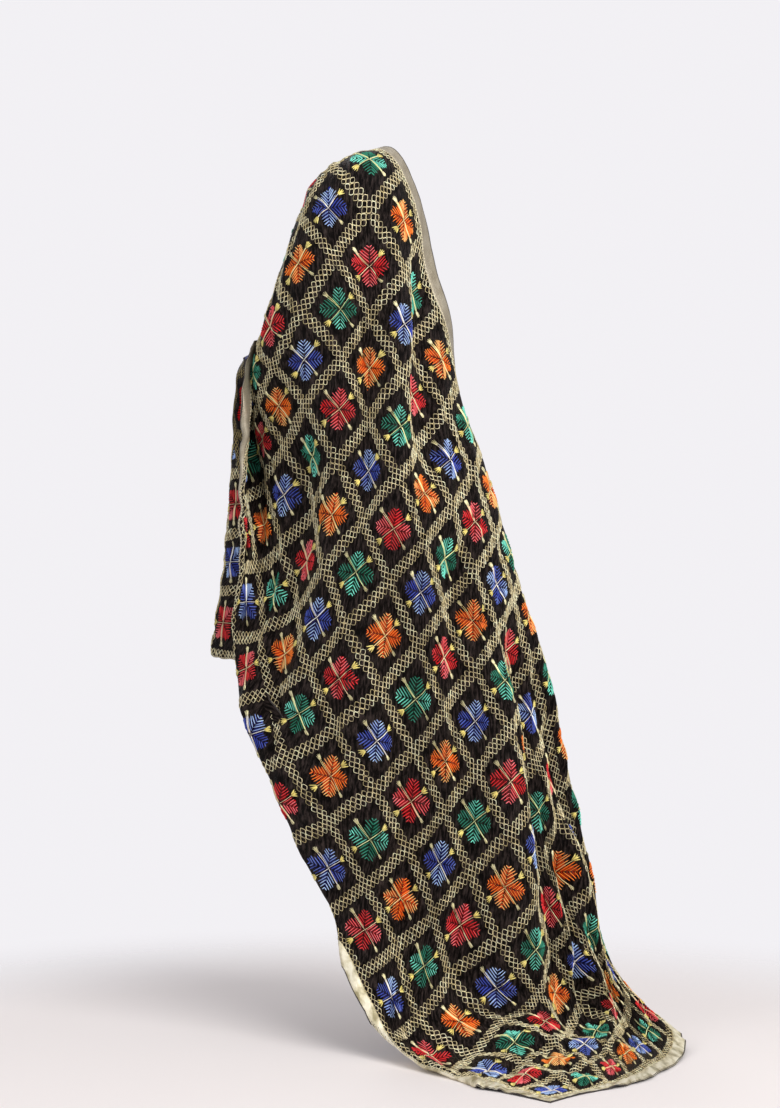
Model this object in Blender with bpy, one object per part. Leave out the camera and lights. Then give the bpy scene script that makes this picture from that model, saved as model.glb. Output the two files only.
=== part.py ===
"""A phulkari dupatta worn over the left shoulder and bent forearm, its back end trailing on the floor.

The cloth is one rectangle with a gota strip sewn round its four edges. Places on it are given in
pattern cells: "along" runs from the front end to the back end, "across" from the inner long edge, by
the neck, to the outer long edge, over the forearm. The origin is on top of the shoulder, +Z is up, +X
is to the side the cloth trails to, and -Y is the side the back fall faces.
"""
import math
from collections import namedtuple

import bpy
import numpy as np

# Cut of the cloth, in metres
CELL = 0.1115
MARGIN = 0.3
CELLS_ACROSS = 8
FIRST_CELL = -6
LAST_CELL = 14
GOTA_WIDTH = 0.030

# Walls and clearances, in metres
CLOTH_WALL = 0.0018
GOTA_WALL = 0.0010
SEAM_GAP = 0.0003
FLOOR = -1.470

# Mesh fineness: divisions of one cell
ALONG_STEPS = 3
ACROSS_STEPS = 4

# Where each stretch of the ground cloth ends, in cells along
Stretch = namedtuple("Stretch", "name start end")
STRETCHES = (
    Stretch("ground_front_fall", FIRST_CELL - MARGIN, -1.0),
    Stretch("ground_shoulder", -1.0, 2.5),
    Stretch("ground_back_fall", 2.5, 6.5),
    Stretch("ground_lower_fall", 6.5, 10.5),
    Stretch("ground_train", 10.5, LAST_CELL + MARGIN),
)

# Lines across the cloth, before its folds: where each passes five lengthwise guides, in metres.
GUIDES_ACROSS = (-MARGIN, 2.0, 4.0, 6.0, CELLS_ACROSS + MARGIN)
Section = namedtuple("Section", "along inner back side arm outer")
SECTIONS = (
    Section(-6.3, (0.170, 0.220, -0.610), (0.020, 0.160, -0.680), (-0.070, 0.120, -0.890),
            (-0.195, 0.135, -0.855), (-0.220, 0.015, -0.850)),
    Section(-4.0, (0.130, 0.210, -0.360), (0.000, 0.140, -0.430), (-0.080, 0.120, -0.660),
            (-0.185, 0.145, -0.660), (-0.190, 0.025, -0.630)),
    Section(-2.0, (0.090, 0.190, -0.140), (-0.030, 0.090, -0.210), (-0.100, 0.130, -0.430),
            (-0.170, 0.150, -0.445), (-0.180, 0.030, -0.420)),
    Section(-1.3, (0.075, 0.175, -0.065), (-0.055, 0.040, -0.145), (-0.110, 0.095, -0.345),
            (-0.165, 0.135, -0.380), (-0.173, 0.010, -0.350)),
    Section(-0.5, (0.065, 0.140, 0.005), (-0.060, -0.030, -0.105), (-0.123, 0.000, -0.295),
            (-0.160, 0.060, -0.335), (-0.160, -0.035, -0.322)),
    Section(0.5, (0.090, 0.060, 0.025), (-0.037, -0.110, -0.140), (-0.130, -0.080, -0.335),
            (-0.152, -0.020, -0.410), (-0.167, -0.075, -0.425)),
    Section(1.5, (0.135, 0.030, -0.060), (0.035, -0.145, -0.225), (-0.077, -0.120, -0.390),
            (-0.140, -0.015, -0.495), (-0.167, -0.090, -0.530)),
    Section(3.0, (0.185, 0.030, -0.235), (0.100, -0.140, -0.380), (0.000, -0.170, -0.520),
            (-0.100, -0.090, -0.655), (-0.175, -0.090, -0.700)),
    Section(5.0, (0.265, 0.060, -0.455), (0.190, -0.150, -0.595), (0.085, -0.210, -0.715),
            (-0.045, -0.190, -0.855), (-0.195, -0.120, -0.920)),
    Section(7.0, (0.325, 0.020, -0.680), (0.265, -0.150, -0.800), (0.180, -0.225, -0.920),
            (0.060, -0.230, -1.050), (-0.085, -0.180, -1.150)),
    Section(9.0, (0.370, -0.030, -0.885), (0.335, -0.150, -1.010), (0.275, -0.230, -1.120),
            (0.155, -0.240, -1.250), (0.030, -0.255, -1.355)),
    Section(10.0, (0.395, -0.045, -1.000), (0.365, -0.150, -1.110), (0.320, -0.215, -1.225),
            (0.195, -0.240, -1.350), (0.095, -0.320, -1.440)),
    Section(11.0, (0.420, -0.060, -1.115), (0.405, -0.150, -1.215), (0.365, -0.200, -1.320),
            (0.270, -0.230, -1.430), (0.175, -0.445, -1.468)),
    Section(12.6, (0.450, -0.060, -1.300), (0.470, -0.110, -1.380), (0.440, -0.140, -1.440),
            (0.375, -0.340, -1.465), (0.245, -0.520, -1.468)),
    Section(14.3, (0.505, -0.030, -1.445), (0.565, -0.225, -1.455), (0.490, -0.375, -1.468),
            (0.410, -0.470, -1.468), (0.320, -0.590, -1.468)),
)

# Folds. A "drop" fold hangs along across + along and lies on a line of along - across; a "lay" fold is
# the other way round, as the front fall and the train have them. An "edge" fold turns a long edge
# under. Line and spread are in cells, depth in metres, outward for a ridge and inward for a valley,
# and the fold fades in and out of its run.
Fold = namedtuple("Fold", "kind line drift spread depth start end")
FOLDS = (
    Fold("drop", -0.1, -0.03, 0.55, -0.028, 1.0, 8.5),
    Fold("drop", 1.1, -0.02, 0.55, 0.014, 2.0, 9.0),
    Fold("drop", 2.2, 0.00, 0.50, -0.026, 1.5, 7.5),
    Fold("drop", -1.2, -0.02, 0.60, 0.014, 4.5, 12.5),
    Fold("drop", -2.3, 0.03, 0.55, -0.028, 6.0, 13.5),
    Fold("drop", 0.3, 0.08, 0.60, 0.014, 8.5, 15.0),
    Fold("drop", 1.3, 0.15, 0.50, -0.030, 8.8, 17.5),
    Fold("drop", 3.1, 0.12, 0.50, -0.030, 6.8, 17.5),
    Fold("drop", 5.0, 0.03, 0.65, 0.018, 9.0, 19.0),
    Fold("drop", 6.0, 0.15, 0.50, -0.032, 8.0, 18.0),
    Fold("drop", 8.3, 0.10, 0.50, 0.014, 11.0, 19.0),
    Fold("drop", -3.9, 0.05, 0.50, -0.020, 8.5, 15.5),
    Fold("drop", -0.7, 0.05, 0.55, 0.012, 12.0, 18.0),
    Fold("lay", -2.6, 0.04, 0.60, -0.026, 0.5, 11.0),
    Fold("lay", -1.2, 0.00, 0.60, 0.020, 1.0, 10.5),
    Fold("lay", 0.4, 0.00, 0.55, -0.024, 2.0, 12.0),
    Fold("lay", 2.0, 0.02, 0.55, 0.018, 3.0, 11.0),
    Fold("lay", -4.3, 0.00, 0.60, 0.018, 1.0, 8.5),
    Fold("lay", 17.2, 0.02, 0.35, 0.016, -9.5, -2.5),
    Fold("lay", 18.4, 0.03, 0.35, 0.020, -12.0, -3.0),
    Fold("lay", 19.6, 0.02, 0.35, 0.018, -13.5, -4.0),
    Fold("edge", 0.9, 0.00, 0.70, 0.025, -2.2, 2.2),
    Fold("edge", -0.6, 0.00, 0.50, -0.050, 3.0, 13.6),
    Fold("edge", 8.6, 0.00, 0.50, -0.040, 3.4, 9.4),
)
FADE = 1.6
BUNCHING = 0.26

# Colours and finish
Finish = namedtuple("Finish", "name color roughness metallic")
GROUND = Finish("black_silk", (0.012, 0.010, 0.011, 1.0), 0.55, 0.0)
GOTA = Finish("pale_gold_gota", (0.62, 0.54, 0.33, 1.0), 0.38, 0.35)


def clear_scene():
    for old in list(bpy.data.objects):
        bpy.data.objects.remove(old)


def spline_weights(knots, x):
    """Weights of each knot in the natural cubic spline through the knots, one row for each x."""
    knots = np.asarray(knots, float)
    count = len(knots)
    gap = np.diff(knots)
    system = np.eye(count)
    right = np.zeros((count, count))
    for i in range(1, count - 1):
        system[i, i - 1:i + 2] = gap[i - 1], 2 * (gap[i - 1] + gap[i]), gap[i]
        right[i, i - 1:i + 2] = 6 / gap[i - 1], -6 / gap[i - 1] - 6 / gap[i], 6 / gap[i]
    bend = np.linalg.solve(system, right)
    unit = np.eye(count)
    left = np.clip(np.searchsorted(knots, x, side="right") - 1, 0, count - 2)
    width = gap[left][:, None]
    b = (x - knots[left])[:, None] / width
    a = 1 - b
    curve = ((a ** 3 - a) * bend[left] + (b ** 3 - b) * bend[left + 1]) * width ** 2 / 6
    return a * unit[left] + b * unit[left + 1] + curve


GUIDE_POINTS = np.array([row[1:] for row in SECTIONS])
GUIDE_STATIONS = [row.along for row in SECTIONS]


def smooth_cloth(across, along):
    """The cloth before its folds."""
    by_section = spline_weights(GUIDE_STATIONS, along)
    by_guide = spline_weights(GUIDES_ACROSS, across)
    return np.einsum("ns,ng,sgd->nd", by_section, by_guide, GUIDE_POINTS)


def unit_rows(vectors):
    return vectors / np.linalg.norm(vectors, axis=1, keepdims=True)


def fade(run, start, end):
    """1 along a fold's run, falling to 0 smoothly at both ends."""
    rise = np.clip((run - start) / FADE, 0, 1)
    fall = np.clip((end - run) / FADE, 0, 1)
    return (rise * rise * (3 - 2 * rise)) * (fall * fall * (3 - 2 * fall))


def folded_cloth(across, along):
    """The middle of the cloth's wall, with its folds, resting on the floor where it reaches it."""
    step = 0.02
    place = smooth_cloth(across, along)
    slope_across = (smooth_cloth(across + step, along) - smooth_cloth(across - step, along)) / (2 * step)
    slope_along = (smooth_cloth(across, along + step) - smooth_cloth(across, along - step)) / (2 * step)
    outward = unit_rows(np.cross(slope_across, slope_along))
    for fold in FOLDS:
        if fold.kind == "drop":
            position, run = along - across, along + across
            sideways = (slope_along - slope_across) / 2
        elif fold.kind == "lay":
            position, run = along + across, across - along
            sideways = (slope_along + slope_across) / 2
        else:
            position, run = across, along
            sideways = slope_across
        offset = (position - fold.line - fold.drift * (run - fold.start)) / fold.spread
        window = fade(run, fold.start, fold.end)
        height = fold.depth * window * np.exp(-offset ** 2 / 2)
        gather = BUNCHING * fold.spread * window * offset * np.exp(-offset ** 2)
        place = place + height[:, None] * outward + gather[:, None] * sideways
    place[:, 2] = np.maximum(place[:, 2], FLOOR + CLOTH_WALL / 2)
    return place


def face_directions(across, along):
    """Unit directions out of the embroidered face."""
    step = 0.03
    edge = MARGIN
    low_c = np.maximum(across - step, -edge)
    high_c = np.minimum(across + step, CELLS_ACROSS + edge)
    low_a = np.maximum(along - step, FIRST_CELL - edge)
    high_a = np.minimum(along + step, LAST_CELL + edge)
    over = folded_cloth(high_c, along) - folded_cloth(low_c, along)
    down = folded_cloth(across, high_a) - folded_cloth(across, low_a)
    return unit_rows(np.cross(over, down))


def lines_across():
    """Places of the mesh lines across the cloth: the edge, the gota's inner side, then even steps."""
    inset = GOTA_WIDTH / CELL - MARGIN
    inner = np.linspace(inset, CELLS_ACROSS - inset, CELLS_ACROSS * ACROSS_STEPS + 1)
    return np.concatenate(([-MARGIN], inner, [CELLS_ACROSS + MARGIN]))


def lines_along(stretch):
    """Places of the mesh lines along one stretch, which stops a seam gap short of each seam."""
    first = FIRST_CELL - MARGIN
    last = LAST_CELL + MARGIN
    gap = SEAM_GAP / CELL
    start = stretch.start if stretch.start == first else stretch.start + gap
    end = stretch.end if stretch.end == last else stretch.end - gap
    inset = GOTA_WIDTH / CELL
    inner_start = start + inset if stretch.start == first else start
    inner_end = end - inset if stretch.end == last else end
    steps = math.ceil((inner_end - inner_start) * ALONG_STEPS)
    lines = list(np.linspace(inner_start, inner_end, steps + 1))
    if stretch.start == first:
        lines.insert(0, start)
    if stretch.end == last:
        lines.append(end)
    return np.array(lines)


def cloth_grid(across, along):
    """Points and outward directions on a grid, as (across, along, xyz) arrays."""
    c, a = np.meshgrid(across, along, indexing="ij")
    shape = c.shape + (3,)
    points = folded_cloth(c.ravel(), a.ravel()).reshape(shape)
    outward = face_directions(c.ravel(), a.ravel()).reshape(shape)
    return points, outward


def add_wall(name, under, over, finish):
    """A closed wall between two grids of points, the embroidered face being over."""
    count_c, count_a = under.shape[:2]
    size = count_c * count_a
    vertices = np.concatenate((under.reshape(-1, 3), over.reshape(-1, 3)))
    index = np.arange(size).reshape(count_c, count_a)
    faces = []
    for i in range(count_c - 1):
        for j in range(count_a - 1):
            a, b = index[i, j], index[i + 1, j]
            c, d = index[i + 1, j + 1], index[i, j + 1]
            faces += [(a, c, b), (a, d, c)]
            faces += [(a + size, b + size, c + size), (a + size, c + size, d + size)]
    rim = list(index[:, 0]) + list(index[-1, 1:]) + list(index[-2::-1, -1]) + list(index[0, -2:0:-1])
    for first, second in zip(rim, rim[1:] + rim[:1]):
        faces.append((first, second, second + size))
        faces.append((first, second + size, first + size))
    mesh = bpy.data.meshes.new(name)
    mesh.from_pydata(vertices.tolist(), [], faces)
    mesh.materials.append(make_material(finish))
    mesh.shade_smooth()
    mesh.set_sharp_from_angle(angle=math.radians(60))
    wall = bpy.data.objects.new(name, mesh)
    bpy.context.scene.collection.objects.link(wall)
    return wall


def make_material(finish):
    if finish.name in bpy.data.materials:
        return bpy.data.materials[finish.name]
    material = bpy.data.materials.new(finish.name)
    material.use_nodes = True
    shader = material.node_tree.nodes["Principled BSDF"]
    shader.inputs["Base Color"].default_value = finish.color
    shader.inputs["Roughness"].default_value = finish.roughness
    shader.inputs["Metallic"].default_value = finish.metallic
    return material


def rest_on_floor(points, lowest):
    """Keeps a face of the wall from dipping under the floor."""
    points[..., 2] = np.maximum(points[..., 2], lowest)
    return points


def build_ground(stretch):
    points, outward = cloth_grid(lines_across(), lines_along(stretch))
    under = rest_on_floor(points - outward * CLOTH_WALL / 2, FLOOR)
    over = rest_on_floor(points + outward * CLOTH_WALL / 2, FLOOR + CLOTH_WALL)
    add_wall(stretch.name, under, over, GROUND)


def lift_strip(points, outward):
    """The two faces of a gota strip over these points of the ground cloth."""
    low = CLOTH_WALL / 2 + SEAM_GAP
    high = low + GOTA_WALL
    under = rest_on_floor(points + outward * low, FLOOR + CLOTH_WALL + SEAM_GAP)
    over = rest_on_floor(points + outward * high, FLOOR + CLOTH_WALL + SEAM_GAP + GOTA_WALL)
    return under, over


def build_long_gota(name, across):
    """A strip along a long edge, between the two end strips; across lists its edge line first."""
    along = np.concatenate([lines_along(stretch) for stretch in STRETCHES])[1:-1]
    along = np.delete(along, np.flatnonzero(np.diff(along) < SEAM_GAP / CELL * 2.5))
    along[0] += SEAM_GAP / CELL
    along[-1] -= SEAM_GAP / CELL
    points, outward = cloth_grid(across, along)
    under, over = lift_strip(points, outward)
    if across[0] > across[1]:
        under = under[::-1]
        over = over[::-1]
    add_wall(name, under, over, GOTA)


def build_end_gota(name, along):
    """A strip across an end, from edge to edge; along lists its edge line first."""
    points, outward = cloth_grid(lines_across(), along)
    under, over = lift_strip(points, outward)
    if along[0] > along[1]:
        under = under[:, ::-1]
        over = over[:, ::-1]
    add_wall(name, under, over, GOTA)


def build_all():
    clear_scene()
    for stretch in STRETCHES:
        build_ground(stretch)
    edge_lines = lines_across()
    build_long_gota("gota_inner_edge", edge_lines[:2])
    build_long_gota("gota_outer_edge", edge_lines[:-3:-1])
    build_end_gota("gota_front_end", lines_along(STRETCHES[0])[:2])
    build_end_gota("gota_back_end", lines_along(STRETCHES[-1])[:-3:-1])


build_all()
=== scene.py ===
"""Looks of a phulkari dupatta: black silk with a gold chain lattice, floss flowers and gota borders.

The cloth is one rectangle. Places on it are given in pattern cells: "across" runs from the inner long
edge, by the neck, to the outer one, over the forearm, and "along" runs from the front end to the back
end. Everything sewn on the cloth is laid on it by those two numbers and a height over its face.
"""
import math
from collections import namedtuple

import bpy
import numpy as np
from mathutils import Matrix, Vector


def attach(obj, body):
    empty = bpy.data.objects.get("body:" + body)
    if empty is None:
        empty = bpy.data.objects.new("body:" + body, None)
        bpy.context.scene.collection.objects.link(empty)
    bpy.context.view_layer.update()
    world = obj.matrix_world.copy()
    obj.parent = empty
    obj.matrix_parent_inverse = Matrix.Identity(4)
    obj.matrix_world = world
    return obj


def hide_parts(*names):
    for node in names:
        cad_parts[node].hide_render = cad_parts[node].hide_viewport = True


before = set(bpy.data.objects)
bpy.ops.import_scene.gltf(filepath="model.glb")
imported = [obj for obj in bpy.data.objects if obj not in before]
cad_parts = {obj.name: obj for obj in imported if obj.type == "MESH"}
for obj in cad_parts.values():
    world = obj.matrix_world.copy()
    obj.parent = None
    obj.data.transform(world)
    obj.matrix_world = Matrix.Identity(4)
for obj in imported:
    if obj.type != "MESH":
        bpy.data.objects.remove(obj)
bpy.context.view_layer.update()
random = np.random.default_rng(11)

# ---------------------------------------------------------------- the cut, in metres and cells

CELL = 0.1115
MARGIN = 0.3
CELLS_ACROSS = 8
FIRST_CELL = -6
LAST_CELL = 14
LOW_ACROSS = -MARGIN
HIGH_ACROSS = CELLS_ACROSS + MARGIN
LOW_ALONG = FIRST_CELL - MARGIN
HIGH_ALONG = LAST_CELL + MARGIN
LIMITS = ((LOW_ACROSS, HIGH_ACROSS), (LOW_ALONG, HIGH_ALONG))
GOTA_WIDTH = 0.030
# How high the silk's face is over the middle of the cloth: half its thickness
FACE = 0.0006 / 2
# The floor, how low the middle of the cloth goes over it, and how near to it anything sewn on comes
FLOOR = -1.470
WALL = 0.0018
LOWEST = FLOOR + WALL / 2
FLOOR_GAP = 0.0002
STRETCHES = ("front_fall", "shoulder", "back_fall", "lower_fall", "train")
STRETCH_ENDS = (LOW_ALONG, -1.0, 2.5, 6.5, 10.5, HIGH_ALONG)

# The mesh of the cloth: steps of about 8 mm, and of 3.5 mm by the outer edge, which turns under
CLOSE_FROM = 7.3
WIDE_STEPS = 104
CLOSE_STEPS = 32
STEPS_ACROSS = WIDE_STEPS + CLOSE_STEPS
STEPS_ALONG = 292

# ---------------------------------------------------------------- the drape

# Lines across the cloth, before its folds: where each passes five lengthwise guides, in metres.
GUIDES_ACROSS = (LOW_ACROSS, 2.0, 4.0, 6.0, HIGH_ACROSS)
Section = namedtuple("Section", "along inner back side arm outer")
SECTIONS = [Section(*row) for row in (
    (-6.3, (0.170, 0.220, -0.610), (0.020, 0.160, -0.680), (-0.070, 0.120, -0.890),
     (-0.195, 0.135, -0.855), (-0.220, 0.015, -0.850)),
    (-4.0, (0.130, 0.210, -0.360), (0.000, 0.140, -0.430), (-0.080, 0.120, -0.660),
     (-0.185, 0.145, -0.660), (-0.190, 0.025, -0.630)),
    (-2.0, (0.090, 0.190, -0.140), (-0.030, 0.090, -0.210), (-0.100, 0.130, -0.430),
     (-0.170, 0.150, -0.445), (-0.180, 0.030, -0.420)),
    (-1.3, (0.075, 0.175, -0.065), (-0.055, 0.040, -0.145), (-0.110, 0.095, -0.345),
     (-0.165, 0.135, -0.380), (-0.173, 0.010, -0.350)),
    (-0.5, (0.065, 0.140, 0.005), (-0.060, -0.030, -0.105), (-0.123, 0.000, -0.295),
     (-0.160, 0.060, -0.335), (-0.160, -0.035, -0.322)),
    (0.5, (0.090, 0.060, 0.025), (-0.037, -0.110, -0.140), (-0.130, -0.080, -0.335),
     (-0.152, -0.020, -0.410), (-0.167, -0.075, -0.425)),
    (1.5, (0.135, 0.030, -0.060), (0.035, -0.145, -0.225), (-0.077, -0.120, -0.390),
     (-0.140, -0.015, -0.495), (-0.167, -0.090, -0.530)),
    (3.0, (0.185, 0.030, -0.235), (0.100, -0.140, -0.380), (0.000, -0.170, -0.520),
     (-0.100, -0.090, -0.655), (-0.175, -0.090, -0.700)),
    (5.0, (0.265, 0.060, -0.455), (0.190, -0.150, -0.595), (0.085, -0.210, -0.715),
     (-0.045, -0.190, -0.855), (-0.195, -0.120, -0.920)),
    (7.0, (0.325, 0.020, -0.680), (0.265, -0.150, -0.800), (0.180, -0.225, -0.920),
     (0.060, -0.230, -1.050), (-0.085, -0.180, -1.150)),
    (9.0, (0.370, -0.030, -0.885), (0.335, -0.150, -1.010), (0.275, -0.230, -1.120),
     (0.155, -0.240, -1.250), (0.030, -0.255, -1.355)),
    (10.0, (0.395, -0.045, -1.000), (0.365, -0.150, -1.110), (0.320, -0.215, -1.225),
     (0.195, -0.240, -1.350), (0.095, -0.320, -1.440)),
    (11.0, (0.420, -0.060, -1.115), (0.405, -0.150, -1.215), (0.365, -0.200, -1.320),
     (0.270, -0.230, -1.430), (0.175, -0.445, -1.468)),
    (12.6, (0.450, -0.060, -1.300), (0.470, -0.110, -1.380), (0.440, -0.140, -1.440),
     (0.375, -0.340, -1.465), (0.245, -0.520, -1.468)),
    (14.3, (0.505, -0.030, -1.445), (0.565, -0.225, -1.455), (0.490, -0.375, -1.468),
     (0.410, -0.470, -1.468), (0.320, -0.590, -1.468)),
)]

# Folds. A "drop" fold runs along across + along and lies on a line of along - across; a "lay" fold is
# the other way round. An "edge" fold runs lengthwise, as the cloth's edge does, on a line of across.
# Line, spread, start and end are in cells, and drift is how far the line moves for each cell of the
# run. Depth is in metres, outward for a ridge and inward for a valley, and fades in and out.
Fold = namedtuple("Fold", "kind line drift spread depth start end")


def folds(kind, *rows):
    return tuple(Fold(kind, *row) for row in rows)


FOLDS = folds(
    "drop",
    (-0.1, -0.03, 0.55, -0.028, 1.0, 8.5), (1.1, -0.02, 0.55, 0.014, 2.0, 9.0),
    (2.2, 0.0, 0.5, -0.026, 1.5, 7.5), (-1.2, -0.02, 0.6, 0.014, 4.5, 12.5),
    (-2.3, 0.03, 0.55, -0.028, 6.0, 13.5), (0.3, 0.08, 0.6, 0.014, 8.5, 15.0),
    (1.3, 0.15, 0.5, -0.03, 8.8, 17.5), (3.1, 0.12, 0.5, -0.03, 6.8, 17.5),
    (5.0, 0.03, 0.65, 0.018, 9.0, 19.0), (6.0, 0.15, 0.5, -0.032, 8.0, 18.0),
    (8.3, 0.1, 0.5, 0.014, 11.0, 19.0), (-3.9, 0.05, 0.5, -0.02, 8.5, 15.5),
    (-0.7, 0.05, 0.55, 0.012, 12.0, 18.0),
) + folds(
    "lay",
    (-2.6, 0.04, 0.6, -0.026, 0.5, 11.0), (-1.2, 0.0, 0.6, 0.02, 1.0, 10.5),
    (0.4, 0.0, 0.55, -0.024, 2.0, 12.0), (2.0, 0.02, 0.55, 0.018, 3.0, 11.0),
    (-4.3, 0.0, 0.6, 0.018, 1.0, 8.5), (17.2, 0.02, 0.35, 0.016, -9.5, -2.5),
    (18.4, 0.03, 0.35, 0.02, -12.0, -3.0), (19.6, 0.02, 0.35, 0.018, -13.5, -4.0),
) + folds(
    "edge",
    (0.9, 0.0, 0.7, 0.025, -2.2, 2.2), (-0.6, 0.0, 0.5, -0.05, 3.0, 13.6),
    (8.6, 0.0, 0.5, -0.04, 3.4, 9.4),
)

# Creases, finer than the folds and only in the looks.
CREASES = folds(
    "drop",
    (0.55, 0.02, 0.2, 0.006, 1.0, 8.0), (1.7, -0.02, 0.18, -0.005, 1.5, 7.5),
    (-0.65, 0.01, 0.2, 0.005, 2.5, 9.5), (2.75, 0.03, 0.2, 0.005, 2.5, 8.5),
    (-1.75, 0.02, 0.18, -0.005, 5.0, 11.5), (3.6, 0.0, 0.18, -0.0045, 4.0, 9.5),
    (-2.85, 0.04, 0.2, 0.006, 6.5, 13.0), (0.85, 0.06, 0.18, -0.005, 8.0, 14.0),
    (1.85, 0.12, 0.2, 0.006, 9.0, 16.5), (2.45, 0.1, 0.17, -0.004, 8.5, 15.0),
    (3.75, 0.1, 0.2, 0.006, 8.0, 16.5), (4.4, 0.06, 0.18, -0.005, 9.5, 17.5),
    (5.55, 0.08, 0.18, 0.005, 9.0, 17.0), (6.6, 0.12, 0.2, 0.006, 9.5, 17.5),
    (7.4, 0.1, 0.18, -0.0045, 10.0, 17.5), (-0.2, 0.05, 0.18, -0.0045, 10.5, 16.5),
    (-1.5, 0.05, 0.2, 0.005, 10.5, 16.0), (-3.3, 0.04, 0.18, -0.005, 8.0, 14.5),
    (-4.5, 0.04, 0.2, 0.006, 9.0, 14.5), (7.95, 0.03, 0.2, -0.019, 10.5, 17.5),
) + folds(
    "lay",
    (-3.4, 0.02, 0.2, 0.006, 1.0, 9.0), (-1.9, 0.02, 0.18, -0.005, 1.0, 10.0),
    (-0.45, 0.01, 0.18, -0.005, 2.0, 11.0), (1.15, 0.0, 0.2, 0.006, 3.0, 11.0),
    (16.3, 0.02, 0.18, 0.006, -8.5, -3.0), (17.1, 0.01, 0.16, -0.009, -10.5, -3.0),
    (17.75, 0.02, 0.14, 0.01, -11.5, -3.5), (18.35, 0.01, 0.15, -0.011, -12.5, -4.0),
    (19.0, 0.02, 0.14, 0.01, -13.0, -4.5), (19.5, 0.02, 0.13, -0.011, -13.5, -5.0),
    (20.1, 0.01, 0.15, 0.011, -13.5, -5.5), (20.75, 0.01, 0.14, -0.009, -13.5, -6.0),
    (21.3, 0.01, 0.15, 0.009, -13.0, -6.5),
) + folds(
    "edge",
    (0.35, 0.0, 0.17, 0.011, -7.9, 0.2), (0.82, 0.01, 0.16, -0.0125, -7.9, -0.6),
    (1.3, 0.01, 0.17, 0.0125, -7.9, -0.4), (1.78, 0.01, 0.16, -0.011, -7.9, -1.2),
    (2.95, 0.02, 0.17, 0.009, -7.9, -1.6), (3.9, 0.02, 0.17, -0.011, -7.9, 0.2),
    (4.32, 0.02, 0.16, 0.011, -7.9, 0.4), (4.74, 0.02, 0.16, -0.013, -7.9, 0.2),
    (5.16, 0.02, 0.15, 0.013, -7.9, -0.2), (5.58, 0.01, 0.15, -0.014, -7.9, -0.6),
    (6.0, 0.01, 0.15, 0.0135, -7.9, -0.8), (6.42, 0.0, 0.15, -0.012, -7.9, -1.0),
    (6.55, 0.0, 0.34, -0.03, -0.9, 3.0), (0.6, 0.02, 0.19, 0.013, 6.8, 13.0),
    (1.15, 0.03, 0.17, -0.014, 7.6, 12.8), (1.95, 0.04, 0.2, 0.014, 8.4, 13.1),
    (2.55, 0.04, 0.18, -0.013, 9.4, 12.9), (3.4, 0.05, 0.2, 0.011, 10.3, 13.2),
    (7.85, 0.0, 0.45, 0.011, 3.6, 9.6), (8.1, 0.0, 0.28, 0.012, 9.0, 13.0),
)
FADE = 1.6
BUNCHING = 0.26

# Small wrinkles all over the cloth, running roughly down the drape: how deep, how long and how uneven
Wrinkle = namedtuple("Wrinkle", "depth wavelength lean wander phase")
WRINKLES = (
    Wrinkle(0.0026, 0.86, 0.05, 0.22, 0.4),
    Wrinkle(0.0017, 0.53, -0.09, 0.16, 2.1),
    Wrinkle(0.0010, 0.37, 0.14, 0.12, 4.4),
)

# Waves that the gota's stitching draws up along the edges: how deep, how long, and how far in
Pucker = namedtuple("Pucker", "depth wavelength reach")
PUCKERS = (Pucker(0.0010, 0.47, 0.40), Pucker(0.0004, 0.21, 0.25))
PUCKER_WANDER = ((1.1, 0.9, 0.7), (0.8, 2.3, -1.7))

# Where the gota holds the inner edge smooth, round the neck: the middle of it, how far along and how far in
CALM_ALONG = 2.5
CALM_REACH = 3.8
CALM_IN = 0.8
CALM_SHARE = 0.85

# Where the outer edge turns under, out of sight: places along it, and the line across that the turn is on
TURNS = ((-6.3, 8.34), (-0.4, 8.34), (0.2, 8.30), (0.7, 8.16), (1.1, 8.05), (1.6, 7.98), (3.6, 7.95),
         (4.5, 7.84), (5.5, 7.52), (6.5, 7.52), (7.5, 7.80), (8.1, 7.82), (8.45, 8.06), (8.9, 8.34),
         (9.4, 8.32), (9.8, 8.08), (10.5, 7.99), (11.3, 8.03), (12.0, 8.26), (12.8, 8.34), (14.3, 8.34))
TURN_STATIONS, TURN_LINES = np.transpose(TURNS)
TURN_START = 6.0
TURN_PULL = 0.4
TURN_EASE = 1.3
TURN_RADIUS = 0.0055
TURN_ANGLE = math.radians(160)
TURN_EVEN = 0.6
TURN_SAMPLES = 7

# Where the front end turns under too: near the outer corner, along a line that leaves the cloth further in
HEM_ALONG = -5.99
HEM_FROM = 4.2
HEM_FULL = 5.7

# How the outer edge lies over the forearm: the gota spread flat there, and all of it a little higher
ARM_ALONG = 0.2
ARM_REACH = 1.3
ARM_SPREAD = 0.55
ARM_GOTA = 7.95

# Where the back end settles flat on the floor, and how much of its height goes
REST_ALONG = 12.8
REST_FULL = 14.0
REST_ACROSS = 1.6
REST_SHARE = 0.80

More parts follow.
